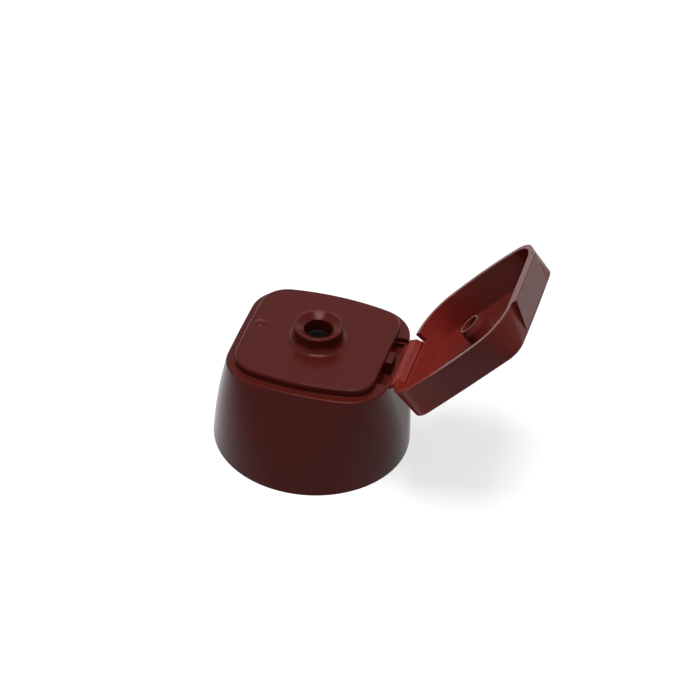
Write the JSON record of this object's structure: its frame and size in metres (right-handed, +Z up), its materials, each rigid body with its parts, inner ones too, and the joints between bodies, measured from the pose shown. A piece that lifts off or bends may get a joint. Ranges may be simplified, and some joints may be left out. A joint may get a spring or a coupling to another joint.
{
  "type": "flip top cap",
  "caption": "Open flip top dispensing cap: a tapering shell, round below and square above, with a raised deck and nozzle, and a lid on a film hinge.",
  "frame": {"origin": "centre of the bottom rim, on the axis of the neck bore", "axes": "+Z up along the neck's axis, -Y to the front where a finger lifts the lid, +Y to the hinge, X across the width"},
  "size_m": [0.038, 0.0602, 0.0473],
  "materials": {
    "maroon_plastic": "gloss"
  },
  "bodies": {
    "base": {"cap_base": "maroon_plastic"},
    "hinge_link": {"hinge_panel": "maroon_plastic"},
    "lid": {"flip_lid": "maroon_plastic"}
  },
  "joints": [
    {"name": "base_film", "type": "hinge", "parent": "base", "child": "hinge_link", "pos_m": [0, 0.01615, 0.0204], "axis": [-1, 0, 0], "range_deg": [-65.25, 24.75]},
    {"name": "lid_film", "type": "hinge", "parent": "hinge_link", "child": "lid", "pos_m": [0, 0.01887, 0.02166], "axis": [-1, 0, 0], "range_deg": [-65.25, 24.75]}
  ],
  "couplings": [
    {"joint": "lid_film", "follows": "base_film", "ratio": 1}
  ]
}
